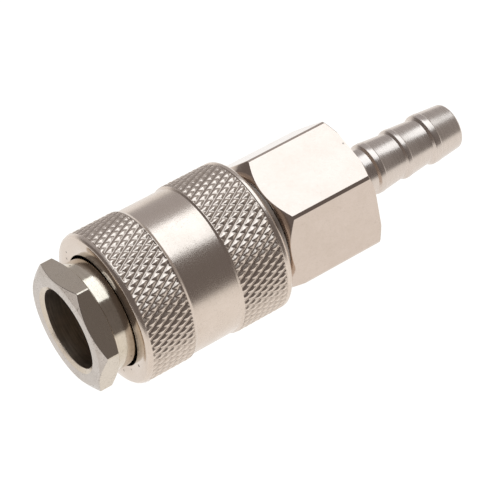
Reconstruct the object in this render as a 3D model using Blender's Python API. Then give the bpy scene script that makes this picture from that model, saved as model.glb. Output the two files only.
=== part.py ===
"""Automatic quick-release air coupling: socket with knurled locking sleeve, sliding valve and hose tail.

The axis is X. The socket mouth faces -X, the hose tail points to +X, and Z is up. The origin is on
the axis, half way along. Stations are distances behind the mouth face. All sizes are in metres.
"""

import math

import bmesh
import bpy
import mathutils

MM = 0.001

# Overall
LENGTH = 70.0 * MM
MOUTH_X = -LENGTH / 2
STEPS_OUTER = 48
STEPS_INNER = 32

# Socket body: hex flange, tube and threaded spigot
BORE_R = 6.28 * MM
COUNTERSINK_R = 6.92 * MM
COUNTERSINK_DEPTH = 0.45 * MM
FLANGE_CORNER_R = 10.17 * MM
FLANGE_CORNER_DEG = 45.4
FLANGE_FACE_R = 8.67 * MM
FLANGE_FRONT_CORNER = 0.90 * MM
FLANGE_REAR_CORNER = 2.66 * MM
FLANGE_REAR_R = 8.75 * MM
FLANGE_REAR = 3.27 * MM
TUBE_R = 8.48 * MM
TUBE_END = 30.90 * MM
SPIGOT_R = 7.90 * MM
SPIGOT_END = 35.60 * MM
SPIGOT_GROOVE_R = 6.88 * MM
SPIGOT_GROOVE = (32.60 * MM, 33.90 * MM)

# Locking balls
BALL_COUNT = 6
BALL_R = 1.75 * MM
BALL_STATION = 13.0 * MM
BALL_REST_R = 8.13 * MM
BALL_HOLE_R = 1.72 * MM
BALL_HOLE_TAPER = 0.114
BALL_FIRST_DEG = 90.0

# Locking sleeve, shown pulled back
SLEEVE_FRONT = 6.24 * MM
SLEEVE_REAR = 31.45 * MM
SLEEVE_R = 12.0 * MM
SLEEVE_BAND_R = 11.63 * MM
SLEEVE_FACE_R = 11.68 * MM
KNURL_1_END = 14.65 * MM
KNURL_2_START = 22.45 * MM
KNURL_2_END = 31.05 * MM
SLEEVE_BORE_R = 8.91 * MM
SLEEVE_RELIEF_R = 10.15 * MM
SLEEVE_RELIEF_START = 10.9 * MM
SLEEVE_RAMP = 0.4107
SLEEVE_LAND_END = 17.4 * MM
SLEEVE_COUNTERBORE_R = 10.6 * MM

# Sleeve spring and its two washers
THRUST_WASHER = (17.65 * MM, 18.45 * MM, 8.70 * MM, 10.35 * MM)
SEAT_WASHER = (31.15 * MM, 31.60 * MM, 8.15 * MM, 10.30 * MM)
SLEEVE_SPRING = (18.70 * MM, 30.95 * MM)
SLEEVE_SPRING_R = 9.62 * MM
SLEEVE_SPRING_WIRE_R = 0.50 * MM
SLEEVE_SPRING_TURNS = 4.5

# Sliding valve
PISTON_R = 6.15 * MM
PISTON_NOSE = 10.4 * MM
PISTON_NOSE_R = 5.40 * MM
PISTON_END = 17.6 * MM
PISTON_GROOVE = (14.8 * MM, 16.5 * MM)
PISTON_GROOVE_R = 4.78 * MM
FACE_SEAL_POCKET_R = 4.85 * MM
FACE_SEAL_POCKET_END = 11.9 * MM
STEM_R = 3.90 * MM
STEM_BORE_R = 2.70 * MM
STEM_BORE_END = 35.6 * MM
STEM_END = 37.45 * MM
STUD_R = 2.20 * MM
STUD_END = 41.7 * MM
PORT_R = 1.15 * MM
PORT_STATION = 33.7 * MM
PORT_COUNT = 4
VALVE_SPRING = (17.85 * MM, 35.65 * MM)
VALVE_SPRING_R = 5.15 * MM
VALVE_SPRING_WIRE_R = 0.45 * MM
VALVE_SPRING_TURNS = 7.5
SEAT_RING = (35.90 * MM, 37.35 * MM, 4.30 * MM, 7.75 * MM)
HEAD_SEAL = (37.60 * MM, 38.45 * MM, 2.45 * MM, 5.05 * MM)
VALVE_HEAD = (38.65 * MM, 40.00 * MM, 2.45 * MM, 5.40 * MM)
NUT = (40.20 * MM, 41.50 * MM)
NUT_FLATS = 6.4 * MM
NUT_BORE_R = 2.45 * MM

# Hose body: hexagon and hose tail in one piece
HEX_CORNER_R = 11.46 * MM
HEX_CORNER_DEG = 12.57
HEX_FRONT = 31.90 * MM
HEX_FRONT_R = 8.90 * MM
HEX_FRONT_CORNER = 34.56 * MM
HEX_REAR_CORNER = 48.00 * MM
HEX_REAR = 48.75 * MM
HEX_REAR_R = 10.40 * MM
THREAD_R = 8.15 * MM
THREAD_END = 37.60 * MM
CHAMBER_R = 6.00 * MM
CHAMBER_END = 46.40 * MM
TAIL_BORE_R = 3.0 * MM
TAIL_NECK_R = 3.72 * MM


def clear_scene():
    for obj in list(bpy.data.objects):
        bpy.data.objects.remove(obj, do_unlink=True)


def make_collection(name):
    collection = bpy.data.collections.new(name)
    bpy.context.scene.collection.children.link(collection)
    return collection


def make_material(name, colour, metallic, roughness):
    material = bpy.data.materials.new(name)
    material.use_nodes = True
    shader = material.node_tree.nodes["Principled BSDF"]
    shader.inputs["Base Color"].default_value = (*colour, 1.0)
    shader.inputs["Metallic"].default_value = metallic
    shader.inputs["Roughness"].default_value = roughness
    material.diffuse_color = (*colour, 1.0)
    return material


def add_object(name, mesh, collection, material=None):
    obj = bpy.data.objects.new(name, mesh)
    collection.objects.link(obj)
    if material:
        obj.data.materials.append(material)
    return obj


def hide_cutter(obj):
    obj.hide_render = True
    obj.display_type = "WIRE"


def shade_round(obj, degrees=35.0):
    obj.data.shade_smooth()
    obj.data.set_sharp_from_angle(angle=math.radians(degrees))


def turned(name, profile, steps, collection, material=None):
    """A closed turned solid about X. The profile holds (station, radius), outer side front to back first."""
    mesh = bpy.data.meshes.new(name)
    bm = bmesh.new()
    count = len(profile)
    rings = []
    for station, radius in profile:
        ring = []
        for k in range(steps):
            angle = 2 * math.pi * k / steps
            ring.append(
                bm.verts.new(
                    (MOUTH_X + station, radius * math.cos(angle), radius * math.sin(angle))
                )
            )
        rings.append(ring)
    for i in range(count):
        a, b = rings[i], rings[(i + 1) % count]
        for k in range(steps):
            n = (k + 1) % steps
            bm.faces.new((a[k], b[k], b[n], a[n]))
    bmesh.ops.recalc_face_normals(bm, faces=bm.faces)
    bm.to_mesh(mesh)
    bm.free()
    obj = add_object(name, mesh, collection, material)
    shade_round(obj)
    return obj


def washer(name, sizes, steps, collection, material):
    """A flat ring. Sizes are front, rear, inner radius and outer radius."""
    front, rear, inner, outer = sizes
    profile = [(front, outer), (rear, outer), (rear, inner), (front, inner)]
    return turned(name, profile, steps, collection, material)


def o_ring(name, station, major, minor, collection, material):
    profile = []
    for k in range(8):
        angle = 2 * math.pi * (k + 0.5) / 8
        profile.append((station - minor * math.cos(angle), major + minor * math.sin(angle)))
    return turned(name, profile, STEPS_INNER, collection, material)


def hex_prism(name, corner_r, corner_deg, start, end, collection):
    """A hexagonal prism about X with one corner at corner_deg, measured from +Y towards +Z."""
    mesh = bpy.data.meshes.new(name)
    bm = bmesh.new()
    bmesh.ops.create_cone(
        bm, cap_ends=True, segments=6, radius1=corner_r, radius2=corner_r, depth=end - start
    )
    bm.to_mesh(mesh)
    bm.free()
    obj = add_object(name, mesh, collection)
    obj.rotation_euler = prism_turn(corner_deg)
    obj.location = (MOUTH_X + (start + end) / 2, 0.0, 0.0)
    return obj


def prism_turn(corner_deg):
    """Euler angles that lay a Z prism along X and turn a corner to corner_deg about X."""
    lay = mathutils.Matrix.Rotation(math.pi / 2, 3, "Y")
    # A prism corner that starts at +Y stays there when the prism is laid down.
    turn = mathutils.Matrix.Rotation(math.radians(corner_deg), 3, "X")
    return (turn @ lay).to_euler("XYZ")


def boolean(obj, name, operation, other):
    modifier = obj.modifiers.new(name, "BOOLEAN")
    modifier.operation = operation
    modifier.object = other
    modifier.solver = "EXACT"
    return modifier


def coil(name, span, radius, wire_r, turns, collection, material, start_deg=0.0):
    """A compression spring about X with one closed turn at each end, as a closed swept tube."""
    per_turn = 12
    start, end = span[0] + wire_r, span[1] - wire_r
    closed = 1.0
    pitch_end = 2.2 * wire_r
    total = int(per_turn * turns)
    points = []
    for i in range(total + 1):
        t = turns * i / total
        inner = turns - 2 * closed
        if t <= closed:
            x = start + pitch_end * t
        elif t >= turns - closed:
            x = end - pitch_end * (turns - t)
        else:
            x0 = start + pitch_end * closed
            x1 = end - pitch_end * closed
            x = x0 + (x1 - x0) * (t - closed) / inner
        angle = math.radians(start_deg) + 2 * math.pi * t
        points.append((MOUTH_X + x, radius * math.cos(angle), radius * math.sin(angle)))
    curve = bpy.data.curves.new(name, "CURVE")
    curve.dimensions = "3D"
    curve.bevel_depth = wire_r
    curve.bevel_resolution = 2
    curve.use_fill_caps = True
    spline = curve.splines.new("POLY")
    spline.points.add(len(points) - 1)
    for point, place in zip(spline.points, points):
        point.co = (*place, 1.0)
    obj = bpy.data.objects.new(name, curve)
    collection.objects.link(obj)
    curve.materials.append(material)
    return obj


def radial_cones(name, count, first_deg, station, r_low, r_high, low, high, sides, collection):
    """Tapered round cutters that point away from the axis, from radius r_low to radius r_high."""
    mesh = bpy.data.meshes.new(name)
    bm = bmesh.new()
    for k in range(count):
        angle = math.radians(first_deg + 360.0 * k / count)
        place = mathutils.Matrix.Translation((MOUTH_X + station, 0.0, 0.0))
        turn = mathutils.Matrix.Rotation(angle - math.pi / 2, 4, "X")
        lift = mathutils.Matrix.Translation((0.0, 0.0, (r_low + r_high) / 2))
        bmesh.ops.create_cone(
            bm,
            cap_ends=True,
            segments=sides,
            radius1=low,
            radius2=high,
            depth=r_high - r_low,
            matrix=place @ turn @ lift,
        )
    bm.to_mesh(mesh)
    bm.free()
    obj = add_object(name, mesh, collection)
    hide_cutter(obj)
    return obj


clear_scene()
parts = make_collection("quick_release_coupling")
cutters = make_collection("cutters")

nickel = make_material("nickel_plated_steel", (0.72, 0.68, 0.63), 1.0, 0.28)
nickel_brass = make_material("nickel_plated_brass", (0.75, 0.71, 0.66), 1.0, 0.25)
ball_steel = make_material("hardened_ball_steel", (0.70, 0.70, 0.71), 1.0, 0.10)
spring_steel = make_material("spring_steel", (0.55, 0.55, 0.56), 1.0, 0.35)
washer_steel = make_material("zinc_plated_steel", (0.66, 0.66, 0.68), 1.0, 0.38)
brass = make_material("brass", (0.78, 0.60, 0.30), 1.0, 0.30)
rubber = make_material("nitrile_rubber", (0.02, 0.02, 0.02), 0.0, 0.55)

# Socket body: a turned tube with a chamfered flange, cut to a hexagon by the prism.
socket_profile = [
    (0.0, FLANGE_FACE_R),
    (FLANGE_FRONT_CORNER, FLANGE_CORNER_R + 0.05 * MM),
    (FLANGE_REAR_CORNER, FLANGE_CORNER_R + 0.05 * MM),
    (FLANGE_REAR, FLANGE_REAR_R),
    (FLANGE_REAR, TUBE_R + 0.12 * MM),
    (FLANGE_REAR + 0.12 * MM, TUBE_R),
    (TUBE_END, TUBE_R),
    (TUBE_END, SPIGOT_R),
    (SPIGOT_GROOVE[0], SPIGOT_R),
    (SPIGOT_GROOVE[0], SPIGOT_GROOVE_R),
    (SPIGOT_GROOVE[1], SPIGOT_GROOVE_R),
    (SPIGOT_GROOVE[1], SPIGOT_R),
    (SPIGOT_END - 0.4 * MM, SPIGOT_R),
    (SPIGOT_END, SPIGOT_R - 0.4 * MM),
    (SPIGOT_END, BORE_R + 0.15 * MM),
    (SPIGOT_END - 0.15 * MM, BORE_R),
    (COUNTERSINK_DEPTH, BORE_R),
    (0.0, COUNTERSINK_R),
]
socket_body = turned("socket_body", socket_profile, STEPS_OUTER, parts, nickel)
flange_prism = hex_prism(
    "flange_prism", FLANGE_CORNER_R, FLANGE_CORNER_DEG, -2 * MM, SPIGOT_END + 2 * MM, cutters
)
hide_cutter(flange_prism)
ball_holes = radial_cones(
    "ball_holes",
    BALL_COUNT,
    BALL_FIRST_DEG,
    BALL_STATION,
    5.6 * MM,
    9.2 * MM,
    BALL_HOLE_R + BALL_HOLE_TAPER * (5.6 * MM - BORE_R),
    BALL_HOLE_R + BALL_HOLE_TAPER * (9.2 * MM - BORE_R),
    20,
    cutters,
)
boolean(socket_body, "hex_flange", "INTERSECT", flange_prism)
boolean(socket_body, "ball_holes", "DIFFERENCE", ball_holes)

# Locking balls, each with its centre as its origin, pushed outwards as with no plug in the socket.
ball_mesh = bpy.data.meshes.new("locking_ball")
ball_bm = bmesh.new()
bmesh.ops.create_uvsphere(ball_bm, u_segments=14, v_segments=8, radius=BALL_R)
ball_bm.to_mesh(ball_mesh)
ball_bm.free()
ball_mesh.shade_smooth()
ball_mesh.materials.append(ball_steel)
for k in range(BALL_COUNT):
    angle = math.radians(BALL_FIRST_DEG + 360.0 * k / BALL_COUNT)
    ball = bpy.data.objects.new(f"locking_ball_{k + 1}", ball_mesh)
    parts.objects.link(ball)
    ball.location = (
        MOUTH_X + BALL_STATION,
        BALL_REST_R * math.cos(angle),
        BALL_REST_R * math.sin(angle),
    )
    ball.rotation_euler = (angle - math.pi / 2, 0.0, 0.0)

# Sleeve: two grip bands, a lower middle band, and inside it the relief, ramp and land over the balls.
ramp_end = BALL_STATION + (SLEEVE_RELIEF_R - SLEEVE_BORE_R) / SLEEVE_RAMP
sleeve_profile = [
    (SLEEVE_FRONT, SLEEVE_FACE_R),
    (SLEEVE_FRONT + 0.35 * MM, SLEEVE_R),
    (KNURL_1_END - 0.25 * MM, SLEEVE_R),
    (KNURL_1_END, SLEEVE_BAND_R),
    (KNURL_2_START, SLEEVE_BAND_R),
    (KNURL_2_START + 0.25 * MM, SLEEVE_R),
    (KNURL_2_END, SLEEVE_R),
    (SLEEVE_REAR, SLEEVE_R - 0.4 * MM),
    (SLEEVE_REAR, SLEEVE_COUNTERBORE_R + 0.25 * MM),
    (SLEEVE_REAR - 0.25 * MM, SLEEVE_COUNTERBORE_R),
    (SLEEVE_LAND_END, SLEEVE_COUNTERBORE_R),
    (SLEEVE_LAND_END, SLEEVE_BORE_R),
    (ramp_end, SLEEVE_BORE_R),
    (BALL_STATION, SLEEVE_RELIEF_R),
    (SLEEVE_RELIEF_START, SLEEVE_RELIEF_R),
    (SLEEVE_RELIEF_START - 0.6 * MM, SLEEVE_BORE_R),
    (SLEEVE_FRONT + 0.15 * MM, SLEEVE_BORE_R),
    (SLEEVE_FRONT, SLEEVE_BORE_R + 0.15 * MM),
]
turned("locking_sleeve", sleeve_profile, STEPS_OUTER, parts, nickel)

washer("sleeve_thrust_washer", THRUST_WASHER, STEPS_OUTER, parts, washer_steel)
washer("spring_seat_washer", SEAT_WASHER, STEPS_OUTER, parts, washer_steel)
coil(
    "sleeve_spring",
    SLEEVE_SPRING,
    SLEEVE_SPRING_R,
    SLEEVE_SPRING_WIRE_R,
    SLEEVE_SPRING_TURNS,
    parts,
    spring_steel,
)

# Sliding valve: the tapered nose keeps the balls out until a plug pushes it back.
piston_profile = [
    (PISTON_NOSE, PISTON_NOSE_R),
    (BALL_STATION, PISTON_R),
    (PISTON_GROOVE[0], PISTON_R),
    (PISTON_GROOVE[0], PISTON_GROOVE_R),
    (PISTON_GROOVE[1], PISTON_GROOVE_R),
    (PISTON_GROOVE[1], PISTON_R),
    (PISTON_END, PISTON_R),
    (PISTON_END, STEM_R),
    (STEM_END, STEM_R),
    (STEM_END, STUD_R),
    (STUD_END, STUD_R),
]
valve_mesh = bpy.data.meshes.new("valve_piston")
valve_bm = bmesh.new()
valve_rings = []
bore_profile = [
    (STEM_BORE_END, STEM_BORE_R),
    (FACE_SEAL_POCKET_END, STEM_BORE_R),
    (FACE_SEAL_POCKET_END, FACE_SEAL_POCKET_R),
    (PISTON_NOSE, FACE_SEAL_POCKET_R),
]
for station, radius in piston_profile + bore_profile:
    valve_ring = []
    for k in range(STEPS_INNER):
        angle = 2 * math.pi * k / STEPS_INNER
        valve_ring.append(
            valve_bm.verts.new(
                (MOUTH_X + station, radius * math.cos(angle), radius * math.sin(angle))
            )
        )
    valve_rings.append(valve_ring)
outer_last = len(piston_profile) - 1
for i in range(len(valve_rings)):
    if i == outer_last:
        continue
    a, b = valve_rings[i], valve_rings[(i + 1) % len(valve_rings)]
    for k in range(STEPS_INNER):
        n = (k + 1) % STEPS_INNER
        valve_bm.faces.new((a[k], b[k], b[n], a[n]))
valve_bm.faces.new(valve_rings[outer_last])
valve_bm.faces.new(valve_rings[outer_last + 1])
bmesh.ops.recalc_face_normals(valve_bm, faces=valve_bm.faces)
valve_bm.to_mesh(valve_mesh)
valve_bm.free()
valve_piston = add_object("valve_piston", valve_mesh, parts, brass)
shade_round(valve_piston)
valve_ports = radial_cones(
    "valve_ports", PORT_COUNT, 45.0, PORT_STATION, 1.8 * MM, 4.6 * MM, PORT_R, PORT_R, 14, cutters
)
boolean(valve_piston, "ports", "DIFFERENCE", valve_ports)

washer(
    "plug_face_seal",
    (PISTON_NOSE + 0.1 * MM, FACE_SEAL_POCKET_END - 0.2 * MM, 3.1 * MM, 4.65 * MM),
    STEPS_INNER,
    parts,
    rubber,
)
o_ring("piston_o_ring", 15.65 * MM, 5.56 * MM, 0.60 * MM, parts, rubber)
coil(
    "valve_spring",
    VALVE_SPRING,
    VALVE_SPRING_R,
    VALVE_SPRING_WIRE_R,
    VALVE_SPRING_TURNS,
    parts,
    spring_steel,
    90.0,
)
washer("valve_seat_ring", SEAT_RING, STEPS_INNER, parts, brass)
washer("valve_head_seal", HEAD_SEAL, STEPS_INNER, parts, rubber)
washer("valve_head", VALVE_HEAD, STEPS_INNER, parts, brass)
nut_profile = [
    (NUT[0], NUT_FLATS / 2),
    (NUT[0] + 0.3 * MM, NUT_FLATS / math.sqrt(3) + 0.02 * MM),
    (NUT[1] - 0.3 * MM, NUT_FLATS / math.sqrt(3) + 0.02 * MM),
    (NUT[1], NUT_FLATS / 2),
    (NUT[1], NUT_BORE_R),
    (NUT[0], NUT_BORE_R),
]
valve_nut = turned("valve_nut", nut_profile, STEPS_INNER, parts, washer_steel)
nut_prism = hex_prism(
    "nut_prism", NUT_FLATS / math.sqrt(3), 0.0, NUT[0] - 1 * MM, NUT[1] + 1 * MM, cutters
)
hide_cutter(nut_prism)
boolean(valve_nut, "nut_hexagon", "INTERSECT", nut_prism)
o_ring("body_o_ring", 33.25 * MM, 7.46 * MM, 0.46 * MM, parts, rubber)

# Hose body: a turned solid with the hexagon's chamfers and the three barbs, cut to a hexagon.
hose_profile = [
    (HEX_FRONT, HEX_FRONT_R),
    (HEX_FRONT_CORNER, HEX_CORNER_R + 0.05 * MM),
    (HEX_REAR_CORNER, HEX_CORNER_R + 0.05 * MM),
    (HEX_REAR, HEX_REAR_R),
    (HEX_REAR, TAIL_NECK_R + 0.30 * MM),
    (HEX_REAR + 0.30 * MM, TAIL_NECK_R),
    (53.35 * MM, TAIL_NECK_R),
    (53.95 * MM, 4.05 * MM),
    (54.27 * MM, 4.17 * MM),
    (54.75 * MM, 4.12 * MM),
    (58.95 * MM, 3.70 * MM),
    (59.45 * MM, 3.98 * MM),
    (59.75 * MM, 4.09 * MM),
    (60.20 * MM, 4.04 * MM),
    (64.09 * MM, 3.62 * MM),
    (64.64 * MM, 4.02 * MM),
    (64.94 * MM, 4.14 * MM),
    (65.40 * MM, 4.09 * MM),
    (69.80 * MM, 3.69 * MM),
    (LENGTH, 3.55 * MM),
    (LENGTH, TAIL_BORE_R + 0.15 * MM),
    (LENGTH - 0.15 * MM, TAIL_BORE_R),
    (CHAMBER_END + 1.7 * MM, TAIL_BORE_R),
    (CHAMBER_END, TAIL_BORE_R + 1.7 * MM),
    (CHAMBER_END, CHAMBER_R),
    (THREAD_END, CHAMBER_R),
    (THREAD_END, THREAD_R),
    (HEX_FRONT + 0.25 * MM, THREAD_R),
    (HEX_FRONT, THREAD_R + 0.25 * MM),
]
hose_body = turned("hose_body", hose_profile, STEPS_OUTER, parts, nickel_brass)
hex_cut = hex_prism(
    "hex_prism", HEX_CORNER_R, HEX_CORNER_DEG, HEX_FRONT - 2 * MM, LENGTH + 2 * MM, cutters
)
hide_cutter(hex_cut)
boolean(hose_body, "hexagon", "INTERSECT", hex_cut)
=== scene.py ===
"""The looks of the quick-release air coupling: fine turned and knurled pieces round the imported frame."""

import math

import bmesh
import bpy
import numpy as np
from mathutils import Matrix, Vector


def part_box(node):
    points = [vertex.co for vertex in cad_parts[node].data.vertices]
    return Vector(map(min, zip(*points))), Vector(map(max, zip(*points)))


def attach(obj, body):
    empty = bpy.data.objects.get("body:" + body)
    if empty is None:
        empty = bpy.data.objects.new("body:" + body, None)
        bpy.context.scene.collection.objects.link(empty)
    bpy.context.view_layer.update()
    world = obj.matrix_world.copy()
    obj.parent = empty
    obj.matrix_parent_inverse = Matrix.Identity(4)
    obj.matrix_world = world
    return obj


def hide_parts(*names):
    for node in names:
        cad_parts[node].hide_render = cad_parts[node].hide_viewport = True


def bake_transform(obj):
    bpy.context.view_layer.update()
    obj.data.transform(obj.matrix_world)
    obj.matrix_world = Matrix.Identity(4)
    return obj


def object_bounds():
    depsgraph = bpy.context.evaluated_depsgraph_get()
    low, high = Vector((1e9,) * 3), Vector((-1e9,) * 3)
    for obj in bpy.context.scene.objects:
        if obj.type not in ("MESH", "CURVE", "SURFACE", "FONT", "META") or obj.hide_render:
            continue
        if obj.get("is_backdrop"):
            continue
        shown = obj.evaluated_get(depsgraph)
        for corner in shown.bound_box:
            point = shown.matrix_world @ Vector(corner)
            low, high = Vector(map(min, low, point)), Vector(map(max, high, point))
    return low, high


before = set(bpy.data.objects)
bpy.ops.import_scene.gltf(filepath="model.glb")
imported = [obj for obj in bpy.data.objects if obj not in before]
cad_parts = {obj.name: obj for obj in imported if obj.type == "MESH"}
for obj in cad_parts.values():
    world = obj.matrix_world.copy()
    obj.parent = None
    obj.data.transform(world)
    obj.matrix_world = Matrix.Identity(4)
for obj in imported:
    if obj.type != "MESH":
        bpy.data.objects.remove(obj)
cad_low, cad_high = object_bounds()
MM = 0.001
SHARP_ANGLE = math.radians(50)

# Where things are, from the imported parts. Stations are millimetres behind the mouth face.
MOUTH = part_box("socket_body")[0].x
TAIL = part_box("hose_body")[1].x


def station_of(node, end):
    return (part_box(node)[end].x - MOUTH) / MM


def outer_of(node):
    low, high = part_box(node)
    return max(high.z, -low.z) / MM


# ------------------------------------------------------------------ geometry helpers


def rounded(points, radius=0.08, steps=4):
    """A closed outline of (station, radius) with its corners rounded. A third value sets a corner's own
    rounding. Returns stations, radii, and how much of an edge each point is, from 0 to 1."""
    out = []
    count = len(points)
    for i, point in enumerate(points):
        here = np.array(point[:2], float)
        size = point[2] if len(point) > 2 else radius
        before = np.array(points[i - 1][:2], float) - here
        after = np.array(points[(i + 1) % count][:2], float) - here
        la, lb = np.linalg.norm(before), np.linalg.norm(after)
        before, after = before / la, after / lb
        cosine = float(np.clip(before @ after, -1, 1))
        turn = math.pi - math.acos(cosine)
        # A rounding takes less than half of each edge, and a slight or tiny corner stays one point.
        reach = min(size * math.tan(turn / 2), 0.42 * la, 0.42 * lb)
        if reach < 0.004 or turn < 0.12:
            out.append((here[0], here[1], 0.0))
            continue
        convex = (before[0] * after[1] - before[1] * after[0]) < 0
        for k in range(steps + 1):
            t = k / steps
            spot = (
                (1 - t) ** 2 * (here + before * reach)
                + 2 * t * (1 - t) * here
                + t * t * (here + after * reach)
            )
            out.append((spot[0], spot[1], 1.0 if convex and 0 < k < steps else 0.0))
    return out


def split(outline, step, first, last, lowest):
    """Adds points to the edges of a closed outline that lie between two stations and above a radius."""
    out = []
    count = len(outline)
    for i in range(count):
        a, b = outline[i], outline[(i + 1) % count]
        out.append(a)
        inside = (
            min(a[0], b[0]) >= first - 1e-6
            and max(a[0], b[0]) <= last + 1e-6
            and min(a[1], b[1]) >= lowest
        )
        if not inside:
            continue
        pieces = int(math.ceil(math.hypot(b[0] - a[0], b[1] - a[1]) / step))
        for k in range(1, pieces):
            t = k / pieces
            out.append((a[0] + (b[0] - a[0]) * t, a[1] + (b[1] - a[1]) * t, 0.0))
    return out


def soft_min(a, b, width):
    return (a + b - np.sqrt((a - b) ** 2 + width * width)) / 2


def even(steps):
    return np.arange(steps) * 2 * math.pi / steps


def corner_angles(first_deg):
    """Angles round a hexagonal piece, closer together near its corners."""
    half = [0, 0.35, 0.7, 1.05, 1.4, 1.8, 2.3, 3.0] + list(range(4, 31))
    side = half + [60 - a for a in reversed(half[1:-1])]
    return np.radians([first_deg + 60 * k + a for k in range(6) for a in side])


def hexagon(angles, corner_r, first_deg, broken):
    """The radius of a hexagon with broken corners at each angle."""
    turned = np.degrees(angles) - first_deg
    from_corner = np.radians((turned + 30) % 60 - 30)
    from_flat = np.radians(turned % 60 - 30)
    flat = corner_r * math.cos(math.radians(30)) / np.cos(from_flat)
    corner = (corner_r - broken) / np.cos(from_corner)
    return soft_min(flat, corner, 0.03)


def ring_mesh(name, rings, angles, diagonal=None):
    """A closed surface about X from rings of (station, radii, wear) and, where there is any, a value that
    darkens knurl grooves with dirt and painted shade.
    diagonal(i) gives, for the band after ring i, which way each cell is cut, or None where the cells
    stay whole."""
    count, steps = len(rings), len(angles)
    cos, sin = np.cos(angles), np.sin(angles)
    places = np.zeros((count, steps, 3))
    wear = np.zeros((count, steps), np.float32)
    dirt_and_shade = np.zeros((count, steps), np.float32)
    for i, (station, radii, edge, *groove_dirt_and_shade) in enumerate(rings):
        places[i, :, 0] = MOUTH + np.asarray(station) * MM
        places[i, :, 1] = radii * cos * MM
        places[i, :, 2] = radii * sin * MM
        wear[i] = edge
        dirt_and_shade[i] = groove_dirt_and_shade[0] if groove_dirt_and_shade else 0
    faces = []
    for i in range(count):
        a, b = i * steps, ((i + 1) % count) * steps
        cuts = diagonal(i) if diagonal else None
        for k in range(steps):
            n = (k + 1) % steps
            if cuts is None:
                faces.append((a + k, a + n, b + n, b + k))
            elif cuts[k]:
                faces.append((a + k, a + n, b + n))
                faces.append((a + k, b + n, b + k))
            else:
                faces.append((a + k, a + n, b + k))
                faces.append((a + n, b + n, b + k))
    mesh = bpy.data.meshes.new(name)
    mesh.from_pydata(places.reshape(-1, 3).tolist(), [], faces)
    for label, numbers in (("wear", wear), ("dirt_and_shade", dirt_and_shade)):
        layer = mesh.attributes.new(label, "FLOAT", "POINT")
        layer.data.foreach_set("value", numbers.reshape(-1))
    mesh.update()
    mesh.shade_smooth()
    return mesh


def piece(name, mesh, material, body, *nodes):
    obj = bpy.data.objects.new(name, mesh)
    bpy.context.scene.collection.objects.link(obj)
    obj.data.materials.append(material)
    if body:
        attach(obj, body)
    if nodes:
        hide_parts(*nodes)
    return obj


def even_normals(obj):
    """Keeps broad faces flat in shading and turns the normals within the small edge roundings."""
    modifier = obj.modifiers.new("even_normals", "WEIGHTED_NORMAL")
    modifier.mode = "FACE_AREA_WITH_ANGLE"
    modifier.weight = 60
    modifier.keep_sharp = True


def turned(name, points, angles, material, body, node, radius=0.08, limit=None, dense=()):
    """A turned piece from its closed outline. limit gives, for a station, the hexagon that holds its
    ring in, and dense lists where the outline gets more rings, as for split."""
    outline = rounded(points, radius)
    for step, first, last, lowest in dense:
        outline = split(outline, step, first, last, lowest)
    rings = []
    for station, r, edge in outline:
        radii = np.full(len(angles), r)
        if limit is not None:
            radii = soft_min(radii, limit(station), 0.05)
        rings.append((station, radii, edge))
    obj = piece(name, ring_mesh(name, rings, angles), material, body, node)
    obj.data.set_sharp_from_angle(angle=SHARP_ANGLE)
    even_normals(obj)
    return obj


def second_finish(obj, material, chosen):
    """Gives the chosen faces another finish."""
    obj.data.materials.append(material)
    for face in obj.data.polygons:
        if chosen(face.center, face.normal):
            face.material_index = len(obj.data.materials) - 1


def close_axis(mesh):
    """Draws each tiny ring round the axis into one point, so that a turned piece is solid there."""
    bm = bmesh.new()
    bm.from_mesh(mesh)
    near = [vertex for vertex in bm.verts if math.hypot(vertex.co.y, vertex.co.z) < 0.05 * MM]
    bmesh.ops.remove_doubles(bm, verts=near, dist=0.1 * MM)
    loose = [line for line in bm.edges if not line.link_faces]
    bmesh.ops.delete(bm, geom=loose, context="EDGES")
    bm.to_mesh(mesh)
    bm.free()


def cut_radial(obj, count, first_deg, station, low, high, r_low, r_high, sides):
    """Cuts tapered round holes through a turned piece, square to its axis."""
    bm = bmesh.new()
    for k in range(count):
        turn = Matrix.Rotation(math.radians(first_deg + 360 * k / count) - math.pi / 2, 4, "X")
        place = Matrix.Translation((MOUTH + station * MM, 0, 0))
        lift = Matrix.Translation((0, 0, (low + high) / 2 * MM))
        bmesh.ops.create_cone(
            bm,
            cap_ends=True,
            segments=sides,
            radius1=r_low * MM,
            radius2=r_high * MM,
            depth=(high - low) * MM,
            matrix=place @ turn @ lift,
        )
    mesh = bpy.data.meshes.new(obj.name + "_cutter")
    bm.to_mesh(mesh)
    bm.free()
    cutter = bpy.data.objects.new(mesh.name, mesh)
    bpy.context.scene.collection.objects.link(cutter)
    modifier = obj.modifiers.new("holes", "BOOLEAN")
    modifier.operation = "DIFFERENCE"
    modifier.solver = "EXACT"
    modifier.object = cutter
    graph = bpy.context.evaluated_depsgraph_get()
    evaluated = obj.evaluated_get(graph)
    cut = bpy.data.meshes.new_from_object(evaluated)
    obj.modifiers.clear()
    old, obj.data = obj.data, cut
    bpy.data.meshes.remove(old)
    bpy.data.objects.remove(cutter)
    bpy.data.meshes.remove(mesh)
    obj.data.shade_smooth()
    obj.data.set_sharp_from_angle(angle=SHARP_ANGLE)
    even_normals(obj)


# ------------------------------------------------------------------ materials


def set_range(node, start, stop, low, high):
    """Sets a map range node so that start to stop becomes low to high."""
    for name, number in zip(("From Min", "From Max", "To Min", "To Max"), (start, stop, low, high)):
        node.inputs[name].default_value = number


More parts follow.
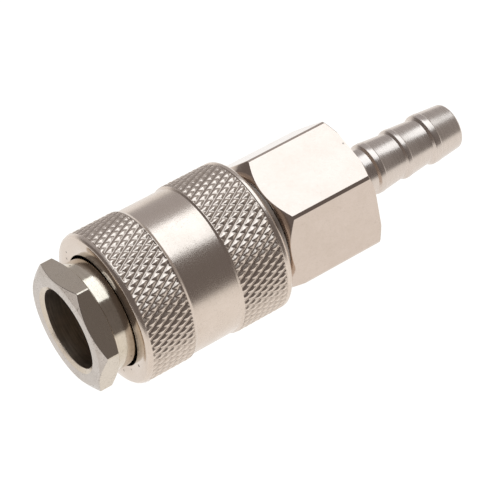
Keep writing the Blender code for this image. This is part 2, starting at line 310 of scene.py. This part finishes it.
class Nodes:
    """Short ways to add shader nodes."""

    def __init__(self, name):
        self.material = bpy.data.materials.new(name)
        self.material.use_nodes = True
        self.tree = self.material.node_tree
        self.shader = self.tree.nodes["Principled BSDF"]

    def add(self, kind, **settings):
        node = self.tree.nodes.new(kind)
        for key, value in settings.items():
            setattr(node, key, value)
        return node

    def link(self, source, target):
        self.tree.links.new(source, target)

    def math(self, operation, a, b=None, clamp=False):
        node = self.add("ShaderNodeMath", operation=operation, use_clamp=clamp)
        for socket, value in zip(node.inputs, (a, b)):
            if isinstance(value, (int, float)):
                socket.default_value = value
            elif value is not None:
                self.link(value, socket)
        return node.outputs[0]

    def span(self, value, a, b, c, d):
        node = self.add("ShaderNodeMapRange", clamp=True)
        self.link(value, node.inputs["Value"])
        set_range(node, a, b, c, d)
        return node.outputs["Result"]

    def noise(self, vector, scale, detail=3.0, rough=0.55):
        node = self.add("ShaderNodeTexNoise")
        node.inputs["Scale"].default_value = scale
        node.inputs["Detail"].default_value = detail
        node.inputs["Roughness"].default_value = rough
        self.link(vector, node.inputs["Vector"])
        return node.outputs["Fac"]

    def colours(self, factor, low, high):
        node = self.add("ShaderNodeMix", data_type="RGBA")
        self.link(factor, node.inputs["Factor"])
        node.inputs["A"].default_value = (*low, 1)
        node.inputs["B"].default_value = (*high, 1)
        return node.outputs["Result"]

    def tint(self, factor, colour, target):
        node = self.add("ShaderNodeMix", data_type="RGBA")
        self.link(factor, node.inputs["Factor"])
        self.link(colour, node.inputs["A"])
        node.inputs["B"].default_value = (*target, 1)
        return node.outputs["Result"]

    def bump(self, height, distance, strength=1.0, under=None):
        node = self.add("ShaderNodeBump")
        node.inputs["Strength"].default_value = strength
        node.inputs["Distance"].default_value = distance
        self.link(height, node.inputs["Height"])
        if under is not None:
            self.link(under, node.inputs["Normal"])
        return node.outputs["Normal"]


def metal(
    name,
    tone,
    stain,
    rough,
    turning=0.5,
    turning_size=6000,
    grain=0.5,
    grain_size=9000,
    pits=0.0,
    edge=None,
    stain_amount=0.5,
    streak=0.0,
    dirt_and_shade_amount=0.0,
    speckle=0.0,
    sleeve_gap_shade=None,
):
    """Plated or bare metal: turning marks round X, a fine grain, slow tarnish and a few tiny pits. streak
    darkens the bottoms of the turning marks, the groove amount darkens the bottoms of a knurl with dirt
    and painted shade, and speckle adds small dull spots. The last argument is the X where painted shade on
    the neck next to the sleeve begins, the X where it is full, and how strong it is."""
    n = Nodes(name)
    shader = n.shader
    shader.inputs["Metallic"].default_value = 1.0
    place = n.add("ShaderNodeTexCoord").outputs["Object"]
    parts = n.add("ShaderNodeSeparateXYZ")
    n.link(place, parts.inputs[0])
    across = n.add("ShaderNodeCombineXYZ")
    n.link(parts.outputs["Y"], across.inputs["Y"])
    n.link(parts.outputs["Z"], across.inputs["Z"])
    length = n.add("ShaderNodeVectorMath", operation="LENGTH")
    n.link(across.outputs[0], length.inputs[0])
    way = n.add("ShaderNodeVectorMath", operation="NORMALIZE")
    n.link(across.outputs[0], way.inputs[0])
    small = n.add("ShaderNodeVectorMath", operation="SCALE")
    n.link(way.outputs[0], small.inputs[0])
    small.inputs["Scale"].default_value = 0.0003
    along = n.add("ShaderNodeCombineXYZ")
    n.link(n.math("ADD", parts.outputs["X"], length.outputs["Value"]), along.inputs["X"])
    lathe = n.add("ShaderNodeVectorMath", operation="ADD")
    n.link(small.outputs[0], lathe.inputs[0])
    n.link(along.outputs[0], lathe.inputs[1])

    marks = n.noise(lathe.outputs[0], turning_size, 4.0, 0.65)
    fine = n.noise(place, grain_size, 3.0, 0.6)
    slow = n.noise(place, 260, 4.0, 0.6)
    mottle = n.noise(place, 1500, 3.0, 0.6)

    patches = n.math("ADD", n.math("MULTIPLY", slow, 0.65), n.math("MULTIPLY", mottle, 0.35))
    tarnish = n.span(patches, 0.38, 0.68, 0.0, 1.0)
    colour = n.colours(n.math("MULTIPLY", tarnish, stain_amount), tone, stain)
    if edge is not None:
        wear = n.add("ShaderNodeAttribute", attribute_name="wear").outputs["Fac"]
        worn = n.math("MULTIPLY", n.span(wear, 0.35, 1.0, 0.0, 1.0), n.span(fine, 0.3, 0.6, 0.5, 1.0))
        colour = n.tint(n.math("MULTIPLY", worn, 0.6), colour, edge)
    if streak:
        lines = n.span(marks, 0.40, 0.62, 1.0, 0.0)
        colour = n.tint(n.math("MULTIPLY", lines, streak), colour, tuple(0.45 * c for c in stain))
    if speckle:
        spots = n.span(n.noise(place, 3600, 2.0, 0.7), 0.56, 0.66, 0.0, 1.0)
        where = n.span(n.noise(place, 420, 2.0, 0.5), 0.40, 0.62, 0.25, 1.0)
        spots = n.math("MULTIPLY", spots, where)
        colour = n.tint(n.math("MULTIPLY", spots, speckle), colour, tuple(0.5 * c for c in stain))
    # Darkens the bottoms of a knurl towards dark brown: partly dirt, partly painted shade for the light
    # that the deep grooves lose.
    if dirt_and_shade_amount:
        dirt_and_shade = n.add("ShaderNodeAttribute", attribute_name="dirt_and_shade").outputs["Fac"]
        low = n.span(dirt_and_shade, 0.25, 0.95, 0.0, 1.0)
        groove_dirt_and_shade = n.math("MULTIPLY", low, n.span(fine, 0.35, 0.6, 0.6, 1.0))
        colour = n.tint(n.math("MULTIPLY", groove_dirt_and_shade, dirt_and_shade_amount), colour, (0.20, 0.155, 0.125))
    # Painted shade: the neck darkens towards the sleeve's front, where it goes in under the sleeve.
    if sleeve_gap_shade is not None:
        near = n.span(parts.outputs["X"], sleeve_gap_shade[0], sleeve_gap_shade[1], 0.0, 1.0)
        near = n.math("MULTIPLY", near, n.span(mottle, 0.35, 0.6, 0.6, 1.0))
        colour = n.tint(n.math("MULTIPLY", near, sleeve_gap_shade[2]), colour, (0.12, 0.10, 0.075))
    spread = n.math(
        "ADD",
        n.math("MULTIPLY", marks, 0.35),
        n.math("ADD", n.math("MULTIPLY", fine, 0.35), n.math("MULTIPLY", slow, 0.3)),
    )
    roughness = n.span(spread, 0.32, 0.68, rough[0], rough[1])
    if speckle:
        roughness = n.math("ADD", roughness, n.math("MULTIPLY", spots, 0.35 * speckle), clamp=True)
    normal = n.bump(marks, 0.00001 * turning, 0.6)
    normal = n.bump(fine, 0.00001 * grain, 0.6, normal)
    if pits:
        cells = n.add("ShaderNodeTexVoronoi", feature="F1")
        cells.inputs["Scale"].default_value = 520
        cells.inputs["Randomness"].default_value = 1.0
        n.link(place, cells.inputs["Vector"])
        chosen = n.add("ShaderNodeSeparateColor")
        n.link(cells.outputs["Color"], chosen.inputs[0])
        size = n.span(chosen.outputs[0], 1.0 - pits, 1.0, 0.0, 0.16)
        uneven = n.math("MULTIPLY", n.math("SUBTRACT", mottle, 0.5), 0.12)
        wobble = n.math("ADD", cells.outputs["Distance"], uneven)
        hole = n.math("MULTIPLY", n.math("SUBTRACT", size, wobble), 14.0, clamp=True)
        colour = n.tint(n.math("MULTIPLY", hole, 0.75), colour, (0.09, 0.075, 0.06))
        roughness = n.math("ADD", roughness, n.math("MULTIPLY", hole, 0.3), clamp=True)
        normal = n.bump(n.math("SUBTRACT", 1.0, hole), 0.00004, 0.7, normal)
    n.link(colour, shader.inputs["Base Color"])
    n.link(roughness, shader.inputs["Roughness"])
    n.link(normal, shader.inputs["Normal"])
    return n.material


def rubber(name):
    n = Nodes(name)
    shader = n.shader
    shader.inputs["Specular IOR Level"].default_value = 0.4
    place = n.add("ShaderNodeTexCoord").outputs["Object"]
    slow = n.noise(place, 700, 3.0, 0.6)
    fine = n.noise(place, 12000, 2.0, 0.5)
    colour = n.colours(n.span(slow, 0.35, 0.7, 0, 1), (0.012, 0.012, 0.012), (0.030, 0.029, 0.028))
    n.link(colour, shader.inputs["Base Color"])
    n.link(n.span(slow, 0.3, 0.7, 0.42, 0.62), shader.inputs["Roughness"])
    n.link(n.bump(fine, 0.00001, 0.5), shader.inputs["Normal"])
    return n.material


NICKEL_BODY = metal(
    "nickel_body", (0.605, 0.525, 0.435), (0.52, 0.44, 0.345), (0.16, 0.30),
    turning=0.35, turning_size=5200, grain=0.35, grain_size=9000, pits=0.09,
    edge=(0.72, 0.66, 0.58), stain_amount=0.45, speckle=0.4,
)
NICKEL_SLEEVE = metal(
    "nickel_sleeve", (0.668, 0.569, 0.491), (0.56, 0.466, 0.385), (0.18, 0.30),
    turning=0.30, turning_size=4200, grain=1.3, grain_size=5200, pits=0.05,
    edge=(0.76, 0.66, 0.57), stain_amount=0.45, dirt_and_shade_amount=0.55, speckle=0.2,
)
NICKEL_HOSE = metal(
    "nickel_hose", (0.622, 0.522, 0.452), (0.54, 0.445, 0.372), (0.08, 0.16),
    turning=0.25, turning_size=5200, grain=0.3, grain_size=5000, pits=0.16,
    edge=(0.66, 0.57, 0.49), stain_amount=0.5, speckle=0.12,
)
SLEEVE_FACE = metal(
    "nickel_sleeve_face", (0.64, 0.547, 0.474), (0.56, 0.466, 0.385), (0.07, 0.15),
    turning=0.4, turning_size=4200, grain=0.3, grain_size=5200, pits=0.22,
    stain_amount=0.5, streak=0.06,
)
NICKEL_TAIL = metal(
    "nickel_tail", (0.67, 0.585, 0.523), (0.57, 0.49, 0.42), (0.21, 0.33),
    turning=0.8, turning_size=3800, grain=0.25, grain_size=9000, pits=0.04,
    edge=(0.70, 0.61, 0.545), stain_amount=0.3, streak=0.12,
)
# The neck's own polished nickel. Its last setting paints shade on the neck next to the sleeve.
NICKEL_NECK = metal(
    "nickel_neck", (0.675, 0.59, 0.49), (0.58, 0.50, 0.39), (0.07, 0.15),
    turning=0.5, turning_size=3800, grain=0.4, grain_size=6000, pits=0.30,
    stain_amount=0.8, streak=0.15, speckle=0.35, sleeve_gap_shade=(MOUTH + 5.0 * MM, MOUTH + 6.9 * MM, 0.75),
)
# The mouth face is the body's nickel at a darker tone: painted shade for the dimmer floor that it
# reflects. Its heavier stain, turning marks and specks are its own.
SHADED_NICKEL_FACE = metal(
    "nickel_face_painted_shade", (0.53, 0.472, 0.428), (0.41, 0.357, 0.305), (0.16, 0.29),
    turning=0.8, turning_size=4200, grain=0.8, grain_size=5200, pits=0.22,
    edge=(0.68, 0.62, 0.55), stain_amount=0.7, streak=0.12, speckle=0.7,
)
NICKEL_BORE = metal(
    "nickel_bore", (0.64, 0.56, 0.485), (0.47, 0.405, 0.33), (0.28, 0.44),
    turning=2.0, turning_size=4200, grain=0.8, grain_size=6000, stain_amount=0.8, streak=0.4,
)
BALL = metal(
    "ball_steel_finish", (0.62, 0.62, 0.63), (0.55, 0.54, 0.53), (0.05, 0.12),
    turning=0.05, grain=0.1, stain_amount=0.3,
)
WASHER = metal(
    "washer_steel_finish", (0.58, 0.59, 0.60), (0.45, 0.46, 0.45), (0.28, 0.42),
    turning=0.5, turning_size=5000, grain=0.6, stain_amount=0.6,
)
SPRING = metal(
    "spring_steel_finish", (0.46, 0.46, 0.47), (0.36, 0.33, 0.30), (0.24, 0.38),
    turning=0.1, grain=0.8, grain_size=12000, stain_amount=0.6,
)
BRASS = metal(
    "turned_brass", (0.80, 0.58, 0.27), (0.58, 0.40, 0.18), (0.20, 0.34),
    turning=0.7, turning_size=6000, grain=0.3, stain_amount=0.6,
)
RUBBER = rubber("nitrile_rubber_finish")

# ------------------------------------------------------------------ socket body

FLANGE_R, FLANGE_DEG = 10.17, 45.4
SOCKET_BORE_R = 6.28
flange_angles = corner_angles(FLANGE_DEG)
flange_hex = hexagon(flange_angles, FLANGE_R, FLANGE_DEG, 0.07)
socket = [
    (0.0, 8.67, 0.12),
    (0.90, 10.22, 0.10),
    (2.66, 10.22, 0.10),
    (3.27, 8.75, 0.08),
    (3.27, 8.60, 0.04),
    (3.39, 8.48, 0.08),
    (30.90, 8.48, 0.12),
    (30.90, 7.90, 0.05),
    (32.60, 7.90, 0.08),
    (32.60, 6.88, 0.10),
    (33.90, 6.88, 0.10),
    (33.90, 7.90, 0.08),
    (35.20, 7.90, 0.10),
    (35.60, 7.50, 0.08),
    (35.60, 6.43, 0.05),
    (35.45, SOCKET_BORE_R, 0.08),
    (0.45, SOCKET_BORE_R, 0.14),
    (0.0, 6.92, 0.10),
]
socket_piece = turned(
    "socket_body_fine",
    socket,
    flange_angles,
    NICKEL_BODY,
    "socket",
    "socket_body",
    limit=lambda s: flange_hex,
    dense=[(0.055, -0.1, 3.3, 8.5)],
)


def from_axis(place):
    return math.hypot(place.y, place.z)


def on_mouth_face(place, way):
    return place.x < MOUTH + 1.0 * MM and way.x < -0.25 and from_axis(place) > 6.9 * MM


def on_neck(place, way):
    return place.x > MOUTH + 3.2 * MM and from_axis(place) > 8.3 * MM


def in_bore(place, way):
    return place.x > MOUTH + 0.5 * MM and from_axis(place) < 6.6 * MM


second_finish(socket_piece, SHADED_NICKEL_FACE, on_mouth_face)
second_finish(socket_piece, NICKEL_NECK, on_neck)
second_finish(socket_piece, NICKEL_BORE, in_bore)


BALLS = 6
BALL_R = 1.75
BALL_STATION = 13.0
HOLE_AT_BORE, HOLE_TAPER = 1.72, 0.114
HOLE_LOW, HOLE_HIGH = 5.6, 9.2


def hole_radius(from_axis_mm):
    """The radius of a tapered ball hole, which is narrowest at the bore so that the ball can't fall in."""
    return HOLE_AT_BORE + HOLE_TAPER * (from_axis_mm - SOCKET_BORE_R)


cut_radial(
    socket_piece,
    BALLS,
    90.0,
    BALL_STATION,
    HOLE_LOW,
    HOLE_HIGH,
    hole_radius(HOLE_LOW),
    hole_radius(HOLE_HIGH),
    48,
)

# ------------------------------------------------------------------ locking sleeve

STARTS = 60  # grooves of each hand round the sleeve
CELLS = 10  # mesh cells across one groove
LEAD = 2.15  # along the axis from groove to groove
ROW = LEAD / CELLS
DEPTH = 0.30
CROSS_FLOOR = 0.30  # how high the bottoms of the shallower hand are, as a part of the depth
CREST = 0.85  # where the points of the diamonds are cut flat
SLEEVE_R = outer_of("locking_sleeve")
SLEEVE_BORE_R = 8.91
RAMP_R = 10.15
RAMP_SLOPE = 0.4107
sleeve_angles = even(STARTS * CELLS)
turns = np.arange(STARTS * CELLS) / CELLS


def groove(t, crest, bottom):
    """The height between V grooves at whole numbers: 0 in a groove and 1 on the crest between two."""
    away = np.abs(t - np.round(t)) * 2
    return np.clip((away - bottom) / (1 - bottom - crest), 0, 1)


def main_height(t):
    return groove(t, 0.08, 0.04)


def cross_height(t):
    return CROSS_FLOOR + (1 - CROSS_FLOOR) * groove(t, 0.10, 0.04)


def knurl(first, last, main_start, cross_start):
    """A diamond knurl between two stations: deep grooves of one hand, crossed by shallower ones of the
    other. Returns its rings and, for the band after each ring, which way the cells are cut."""
    rings, cuts = [], []
    for j in range(int((last - first) / ROW) + 1):
        u = turns + j / CELLS + main_start
        v = turns - j / CELLS + cross_start
        height = np.minimum(np.minimum(main_height(u), cross_height(v)), CREST)
        # The last value rises into the grooves and darkens them with dirt and painted shade.
        rings.append((first + j * ROW, SLEEVE_R - DEPTH * (1 - height), height, 1 - height))
        # Each cell is cut along the grooves of the hand that shapes it.
        cuts.append(main_height(u + 1 / CELLS) > cross_height(v))
    return rings, cuts


front = station_of("locking_sleeve", 0)
rear = station_of("locking_sleeve", 1)
rings_1, cuts_1 = knurl(front + 0.80, 14.22, -0.1, 0.0)
rings_2, cuts_2 = knurl(22.84, 30.44, 0.2, 0.7)
end_1 = rings_1[-1][0]
end_2 = rings_2[-1][0]

outer_front = [
    (front, 11.46, 0.2),
    (front + 0.02, 11.50, 0.8),
    (front + 0.05, 11.54, 0.6),
    (front + 0.28, 11.76, 0.1),
    (front + 0.36, 11.80, 0.0),
    (front + 0.62, 11.88, 0.0),
    (front + 0.72, 11.91, 0.0),
]
outer_middle = [
    (end_1 + 0.06, 11.92, 0.4),
    (end_1 + 0.12, 11.87, 0.2),
    (14.60, 11.66, 0.0),
    (14.66, 11.635, 0.0),
    (14.80, 11.63, 0.0),
    (18.50, 11.63, 0.0),
    (22.30, 11.63, 0.0),
    (22.42, 11.64, 0.0),
    (22.48, 11.67, 0.0),
    (22.66, 11.86, 0.2),
    (22.72, 11.90, 0.4),
]
outer_rear = [
    (end_2 + 0.07, 11.80, 0.0),
    (end_2 + 0.12, 11.80, 0.0),
    (end_2 + 0.17, 11.90, 0.6),
    (end_2 + 0.22, 11.93, 0.8),
    (30.95, 11.93, 0.2),
    (31.03, 11.92, 0.9),
    (31.09, 11.88, 0.9),
    (31.36, 11.64, 0.3),
    (31.43, 11.56, 0.8),
    (rear, 11.46, 0.4),
]
ramp_end = BALL_STATION + (RAMP_R - SLEEVE_BORE_R) / RAMP_SLOPE
inner = [
    (rear, 10.90, 0.0),
    (rear - 0.02, 10.86, 0.3),
    (rear - 0.22, 10.63, 0.3),
    (rear - 0.28, 10.60, 0.0),
    (17.46, 10.60, 0.0),
    (17.40, 10.54, 0.0),
    (17.40, 9.02, 0.0),
    (17.36, 8.94, 0.8),
    (17.28, SLEEVE_BORE_R, 0.0),
    (ramp_end, SLEEVE_BORE_R, 0.0),
    (BALL_STATION, RAMP_R, 0.0),
    (10.9, RAMP_R, 0.0),
    (10.3, 8.82, 0.0),
    (front + 0.20, 8.82, 0.0),
    (front + 0.09, 8.825, 0.6),
    (front + 0.03, 8.85, 0.9),
    (front, 8.89, 0.5),
]


def plain_rings(outline):
    """Round rings of the sleeve, one for each point of an outline."""
    return [(station, np.full(len(sleeve_angles), r), edge) for station, r, edge in outline]


rings = plain_rings(outer_front)
knurl_bands = {}
for knurled, cuts, after in ((rings_1, cuts_1, outer_middle), (rings_2, cuts_2, outer_rear)):
    for j, cut in enumerate(cuts[:-1]):
        knurl_bands[len(rings) + j] = cut
    rings += knurled + plain_rings(after)
rings += plain_rings(inner)
sleeve_mesh = ring_mesh("locking_sleeve_fine", rings, sleeve_angles, knurl_bands.get)
sleeve_piece = piece("locking_sleeve_fine", sleeve_mesh, NICKEL_SLEEVE, "sleeve", "locking_sleeve")
even_normals(sleeve_piece)
second_finish(sleeve_piece, SLEEVE_FACE, lambda place, way: place.x < MOUTH + (front + 0.008) * MM)

# ------------------------------------------------------------------ hose body

HEX_R, HEX_DEG = 11.46, 12.57
HEX_REAR = 48.75  # the hexagon's rear face, with the tail behind it
hex_angles = corner_angles(HEX_DEG)
body_hex = hexagon(hex_angles, HEX_R, HEX_DEG, 0.15)
hex_off = np.full(len(hex_angles), 50.0)
end = (TAIL - MOUTH) / MM
hose = [
    (31.90, 8.90, 0.10),
    (34.56, 11.56, 0.05),
    (48.00, 11.56, 0.10),
    (HEX_REAR, 10.40, 0.12),
    (HEX_REAR, 9.15, 0.0),
    (HEX_REAR, 4.45, 0.0),
    (HEX_REAR, 4.02, 0.05),
    (49.05, 3.72, 0.35),
    (53.60, 3.72, 0.12),
    (53.96, 4.10, 0.06),
    (54.20, 4.15, 0.12),
    (54.85, 4.16, 0.06),
    (54.97, 4.10, 0.06),
    (58.97, 3.70, 0.12),
    (59.30, 4.02, 0.06),
    (59.50, 4.07, 0.12),
    (59.98, 4.08, 0.06),
    (60.09, 4.02, 0.06),
    (64.25, 3.63, 0.12),
    (64.62, 4.06, 0.06),
    (64.86, 4.12, 0.12),
    (65.62, 4.13, 0.06),
    (65.74, 4.07, 0.06),
    (69.80, 3.69, 0.15),
    (end, 3.55, 0.08),
    (end, 3.15, 0.04),
    (end - 0.15, 3.00, 0.08),
    (48.10, 3.00, 0.15),
    (46.40, 4.70, 0.10),
    (46.40, 6.00, 0.15),
    (37.60, 6.00, 0.10),
    (37.60, 8.15, 0.10),
    (32.15, 8.15, 0.10),
    (31.90, 8.40, 0.05),
]
hose_body_fine = turned(
    "hose_body_fine",
    hose,
    hex_angles,
    NICKEL_HOSE,
    "socket",
    "hose_body",
    limit=lambda s: body_hex if s < HEX_REAR + 1.0 else hex_off,
    dense=[(0.085, 31.8, 34.7, 8.85), (0.07, 47.9, 48.8, 9.2), (1.6, 34.5, 48.1, 11.0)],
)
second_finish(hose_body_fine, NICKEL_TAIL, lambda place, way: place.x > MOUTH + (HEX_REAR + 0.1) * MM)

# ------------------------------------------------------------------ balls, washers, valve and seals


def ball_mesh(name, centre, radius, around=48, rows=24):
    """A round ball with its poles on Z, built point by point so that the order is the same each run."""
    points = [(0, 0, 1)]
    for row in range(1, rows):
        tilt = math.pi * row / rows
        out, up = math.sin(tilt), math.cos(tilt)
        points += [(out * math.cos(turn), out * math.sin(turn), up) for turn in even(around)]
    points.append((0, 0, -1))
    lowest = len(points) - 1
    faces = []
    for k in range(around):
        n = (k + 1) % around
        faces.append((0, 1 + k, 1 + n))
        for row in range(rows - 2):
            above = 1 + row * around
            below = above + around
            faces.append((above + k, below + k, below + n, above + n))
        above = lowest - around
        faces.append((above + k, lowest, above + n))
    mesh = bpy.data.meshes.new(name)
    mesh.from_pydata([centre + Vector(point) * radius for point in points], [], faces)
    mesh.update()
    mesh.shade_smooth()
    return mesh


for k in range(BALLS):
    node = f"locking_ball_{k + 1}"
    low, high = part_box(node)
    mesh = ball_mesh(node + "_fine", (low + high) / 2, BALL_R * MM)
    piece(node + "_fine", mesh, BALL, f"ball_{k + 1}", node)

round_angles = even(96)


def ring_piece(node, body, material, inner_r, outer_r, corner=0.12):
    a, b = station_of(node, 0), station_of(node, 1)
    outline = [(a, outer_r), (b, outer_r), (b, inner_r), (a, inner_r)]
    turned(node + "_fine", outline, round_angles, material, body, node, corner)


ring_piece("sleeve_thrust_washer", "slider", WASHER, 8.70, 10.35)
ring_piece("spring_seat_washer", "socket", WASHER, 8.15, 10.30, 0.08)
ring_piece("valve_seat_ring", "socket", BRASS, 4.30, 7.75, 0.15)
ring_piece("valve_head_seal", "valve", RUBBER, 2.45, 5.05, 0.10)
ring_piece("valve_head", "valve", BRASS, 2.45, 5.40, 0.18)
ring_piece("plug_face_seal", "valve", RUBBER, 3.10, 4.65, 0.25)


def o_ring(node, body, station, major, minor):
    outline = []
    for a in even(20):
        radii = np.full(len(round_angles), major + minor * math.sin(a))
        outline.append((station - minor * math.cos(a), radii, 0.0))
    mesh = ring_mesh(node + "_fine", outline, round_angles)
    piece(node + "_fine", mesh, RUBBER, body, node)


o_ring("piston_o_ring", "valve", 15.65, 5.56, 0.59)
o_ring("body_o_ring", "socket", 33.25, 7.46, 0.45)

piston = [
    (10.4, 5.40, 0.15),
    (13.0, 6.15, 0.2),
    (14.8, 6.15, 0.08),
    (14.8, 4.78, 0.1),
    (16.5, 4.78, 0.1),
    (16.5, 6.15, 0.08),
    (17.6, 6.15, 0.12),
    (17.6, 3.90, 0.15),
    (37.45, 3.90, 0.1),
    (37.45, 2.20, 0.1),
    (41.7, 2.20, 0.25),
    (41.7, 0.02, 0.0),
    (35.6, 0.02, 0.0),
    (35.6, 2.70, 0.1),
    (11.9, 2.70, 0.1),
    (11.9, 4.85, 0.08),
    (10.4, 4.85, 0.08),
]
# Half a step round, so that no edge along the piston meets the middle of a port.
piston_angles = round_angles + math.pi / len(round_angles)
piston_piece = turned("valve_piston_fine", piston, piston_angles, BRASS, "valve", "valve_piston")
close_axis(piston_piece.data)
cut_radial(piston_piece, 4, 45.0, 33.7, 1.8, 4.6, 1.15, 1.15, 40)

NUT_SPANNER = 6.4
nut_angles = corner_angles(0.0)
nut_hex = hexagon(nut_angles, NUT_SPANNER / math.sqrt(3), 0.0, 0.03)
nut = [
    (40.2, 3.2, 0.05),
    (40.5, 3.72, 0.05),
    (41.2, 3.72, 0.05),
    (41.5, 3.2, 0.05),
    (41.5, 2.45, 0.1),
    (40.2, 2.45, 0.1),
]
turned(
    "valve_nut_fine",
    nut,
    nut_angles,
    WASHER,
    "valve",
    "valve_nut",
    limit=lambda s: nut_hex,
    dense=[(0.06, 40.1, 41.6, 3.1)],
)


def spring(node, first, last, radius, wire, turns_count, start_deg):
    """A coil spring with closed end turns, swept as a round wire."""
    per_turn, around = 56, 14
    total = int(per_turn * turns_count)
    a, b = first + wire, last - wire
    lead = 2.2 * wire
    centres = []
    for i in range(total + 1):
        t = turns_count * i / total
        if t <= 1:
            s = a + lead * t
        elif t >= turns_count - 1:
            s = b - lead * (turns_count - t)
        else:
            s = a + lead + (b - a - 2 * lead) * (t - 1) / (turns_count - 2)
        angle = math.radians(start_deg) + 2 * math.pi * t
        across, up = radius * math.cos(angle) * MM, radius * math.sin(angle) * MM
        centres.append(Vector((MOUTH + s * MM, across, up)))
    points, faces = [], []
    for i, centre in enumerate(centres):
        ahead = centres[min(i + 1, total)] - centres[max(i - 1, 0)]
        ahead.normalize()
        out = Vector((0, centre.y, centre.z)).normalized()
        side = ahead.cross(out).normalized()
        out = side.cross(ahead).normalized()
        for k in range(around):
            c = 2 * math.pi * k / around
            points.append(centre + (out * math.cos(c) + side * math.sin(c)) * wire * MM)
    for i in range(total):
        for k in range(around):
            n = (k + 1) % around
            p, q = i * around, (i + 1) * around
            faces.append((p + k, p + n, q + n, q + k))
    faces.append(tuple(reversed(range(around))))
    faces.append(tuple(range(total * around, total * around + around)))
    mesh = bpy.data.meshes.new(node + "_fine")
    mesh.from_pydata(points, [], faces)
    mesh.update()
    bm = bmesh.new()
    bm.from_mesh(mesh)
    bmesh.ops.recalc_face_normals(bm, faces=bm.faces)
    bm.to_mesh(mesh)
    bm.free()
    mesh.shade_smooth()
    mesh.set_sharp_from_angle(angle=SHARP_ANGLE)
    obj = piece(node + "_fine", mesh, SPRING, None, node)
    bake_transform(obj)


spring("sleeve_spring", 18.70, 30.95, 9.62, 0.50, 4.5, 0.0)
spring("valve_spring", 17.85, 35.65, 5.15, 0.45, 7.5, 90.0)

# ------------------------------------------------------------------ floor, light and camera

scene = bpy.context.scene
scene.view_settings.view_transform = "Standard"

floor_mesh = bpy.data.meshes.new("floor")
half = 2.5
z = cad_low.z
corners = [(-half, -half, z), (half, -half, z), (half, half, z), (-half, half, z)]
floor_mesh.from_pydata(corners, [], [(0, 1, 2, 3)])
floor = bpy.data.objects.new("floor", floor_mesh)
scene.collection.objects.link(floor)
paper = bpy.data.materials.new("self_lit_floor_painted_pool")
paper.use_nodes = True
white = paper.node_tree.nodes["Principled BSDF"]
white.inputs["Base Color"].default_value = (0.10, 0.10, 0.10, 1)
white.inputs["Roughness"].default_value = 1.0
white.inputs["Specular IOR Level"].default_value = 0.0
white.inputs["Emission Color"].default_value = (1.0, 0.995, 0.985, 1)
# The floor glows by itself: a painted pool of light, brightest round the object and dimmer further out.
floor_place = paper.node_tree.nodes.new("ShaderNodeTexCoord")
away = paper.node_tree.nodes.new("ShaderNodeVectorMath")
away.operation = "LENGTH"
painted_light_pool = paper.node_tree.nodes.new("ShaderNodeMapRange")
painted_light_pool.interpolation_type = "SMOOTHSTEP"
set_range(painted_light_pool, 0.10, 0.34, 1.03, 0.66)
paper.node_tree.links.new(floor_place.outputs["Object"], away.inputs[0])
paper.node_tree.links.new(away.outputs["Value"], painted_light_pool.inputs["Value"])
paper.node_tree.links.new(painted_light_pool.outputs["Result"], white.inputs["Emission Strength"])
floor_mesh.materials.append(paper)
floor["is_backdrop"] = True


def soft_box(name, place, target, size, radiance, colour=(1, 1, 1), shape="RECTANGLE"):
    """An area light of even brightness, turned to face a point."""
    light = bpy.data.lights.new(name, "AREA")
    light.shape = shape
    light.size, light.size_y = size
    area = size[0] * size[1] * (math.pi / 4 if shape == "ELLIPSE" else 1)
    light.energy = radiance * math.pi * area
    light.color = colour
    obj = bpy.data.objects.new(name, light)
    scene.collection.objects.link(obj)
    obj.location = place
    obj.rotation_euler = (Vector(target) - Vector(place)).to_track_quat("-Z", "Y").to_euler()


soft_box(
    "overhead_soft_box",
    (0.20, 0.105, 0.55),
    (0.20, 0.105, 0.0),
    (0.73, 0.60),
    1.80,
    (0.81, 0.911, 1.0),
    "ELLIPSE",
)
soft_box("mouth_side_card", (-1.0, 0.45, 0.06), (0, 0, 0.0), (0.9, 0.20), 0.95)

world = bpy.data.worlds.new("studio")
scene.world = world
world.use_nodes = True
tree = world.node_tree
background = tree.nodes["Background"]
coordinate = tree.nodes.new("ShaderNodeTexCoord")
direction = tree.nodes.new("ShaderNodeSeparateXYZ")
tree.links.new(coordinate.outputs["Generated"], direction.inputs[0])


def soft_step(axis, start, stop):
    """Rises smoothly from 0 to 1 as the direction's part along an axis goes from start to stop."""
    node = tree.nodes.new("ShaderNodeMapRange")
    node.interpolation_type = "SMOOTHSTEP"
    set_range(node, start, stop, 0.0, 1.0)
    tree.links.new(direction.outputs[axis], node.inputs["Value"])
    return node.outputs["Result"]


warm = tree.nodes.new("ShaderNodeMix")
warm.data_type = "RGBA"
warm.inputs["A"].default_value = (0.187, 0.168, 0.163, 1)
warm.inputs["B"].default_value = (0.507, 0.499, 0.519, 1)
both = tree.nodes.new("ShaderNodeMath")
both.operation = "MULTIPLY"
tree.links.new(soft_step("Y", -0.1, 0.75), both.inputs[0])
tree.links.new(soft_step("X", -0.55, 0.05), both.inputs[1])
tree.links.new(both.outputs[0], warm.inputs["Factor"])
tail_side = tree.nodes.new("ShaderNodeMix")
tail_side.data_type = "RGBA"
tail_side.inputs["B"].default_value = (0.44, 0.42, 0.41, 1)
tree.links.new(warm.outputs["Result"], tail_side.inputs["A"])
tree.links.new(soft_step("X", 0.45, 0.85), tail_side.inputs["Factor"])
tree.links.new(tail_side.outputs["Result"], background.inputs["Color"])
background.inputs["Strength"].default_value = 1.0

camera_data = bpy.data.cameras.new("camera")
camera = bpy.data.objects.new("camera", camera_data)
scene.collection.objects.link(camera)
camera_data.lens = 151.69
camera_data.sensor_width = 36.0
camera_data.clip_start = 0.01
middle = (Vector(cad_low) + Vector(cad_high)) / 2
camera.location = middle + Vector((-0.126398, -0.170057, 0.229029))
camera.rotation_euler = (math.radians(42.0622), 0.0, math.radians(-36.0234))
scene.camera = camera

low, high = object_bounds()
